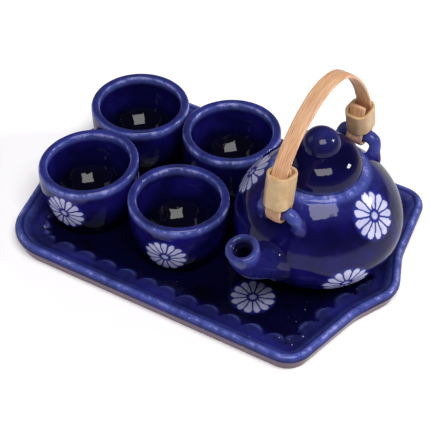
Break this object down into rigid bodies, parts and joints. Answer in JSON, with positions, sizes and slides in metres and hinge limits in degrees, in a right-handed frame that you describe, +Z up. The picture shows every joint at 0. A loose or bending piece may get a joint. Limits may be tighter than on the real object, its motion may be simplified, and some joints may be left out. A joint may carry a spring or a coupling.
{
  "type": "miniature tea set",
  "caption": "Miniature glazed tea set: handleless cups and a lidded teapot with a cane bail handle, standing on a tray with bracket-shaped ends and a scalloped rim.",
  "frame": {"origin": "middle of the tray's flat underside", "axes": "+X along the tray towards the teapot's end, +Y towards the back, away from the spout, +Z up"},
  "size_m": [0.1022, 0.0698, 0.0571],
  "materials": {
    "cobalt_glaze": "deep cobalt gloss glaze over white daisies, paler where it thins on edges",
    "cane": "split cane, satin skin with fine lengthwise fibres",
    "sleeve": "waxy, slightly translucent tube"
  },
  "bodies": {
    "tray": {"tray": "cobalt_glaze"},
    "teapot": {"teapot_body": "cobalt_glaze", "teapot_spout": "cobalt_glaze", "lug_front": "cobalt_glaze", "lug_rear": "cobalt_glaze"},
    "lid": {"lid_dome": "cobalt_glaze", "lid_knob": "cobalt_glaze"},
    "handle": {"handle_strip": "cane", "ferrule_front": "sleeve", "ferrule_rear": "sleeve"},
    "cup_back_left": {"cup_back_left": "cobalt_glaze"},
    "cup_front_left": {"cup_front_left": "cobalt_glaze"},
    "cup_front_right": {"cup_front_right": "cobalt_glaze"},
    "cup_back_right": {"cup_back_right": "cobalt_glaze"}
  },
  "joints": [
    {"name": "teapot_lift", "type": "slide", "parent": "tray", "child": "teapot", "axis": [0, 0, 1], "range_m": [0, 0.04]},
    {"name": "lid_lift", "type": "slide", "parent": "teapot", "child": "lid", "axis": [0, 0, 1], "range_m": [0, 0.012]},
    {"name": "handle_lean", "type": "hinge", "parent": "teapot", "child": "handle", "pos_m": [0.0272, 0.0026, 0.0307], "axis": [0.0872, 0.9962, 0], "range_deg": [-7, 7]},
    {"name": "cup_back_left_lift", "type": "slide", "parent": "tray", "child": "cup_back_left", "axis": [0, 0, 1], "range_m": [0, 0.04]},
    {"name": "cup_front_left_lift", "type": "slide", "parent": "tray", "child": "cup_front_left", "axis": [0, 0, 1], "range_m": [0, 0.04]},
    {"name": "cup_front_right_lift", "type": "slide", "parent": "tray", "child": "cup_front_right", "axis": [0, 0, 1], "range_m": [0, 0.04]},
    {"name": "cup_back_right_lift", "type": "slide", "parent": "tray", "child": "cup_back_right", "axis": [0, 0, 1], "range_m": [0, 0.04]}
  ]
}
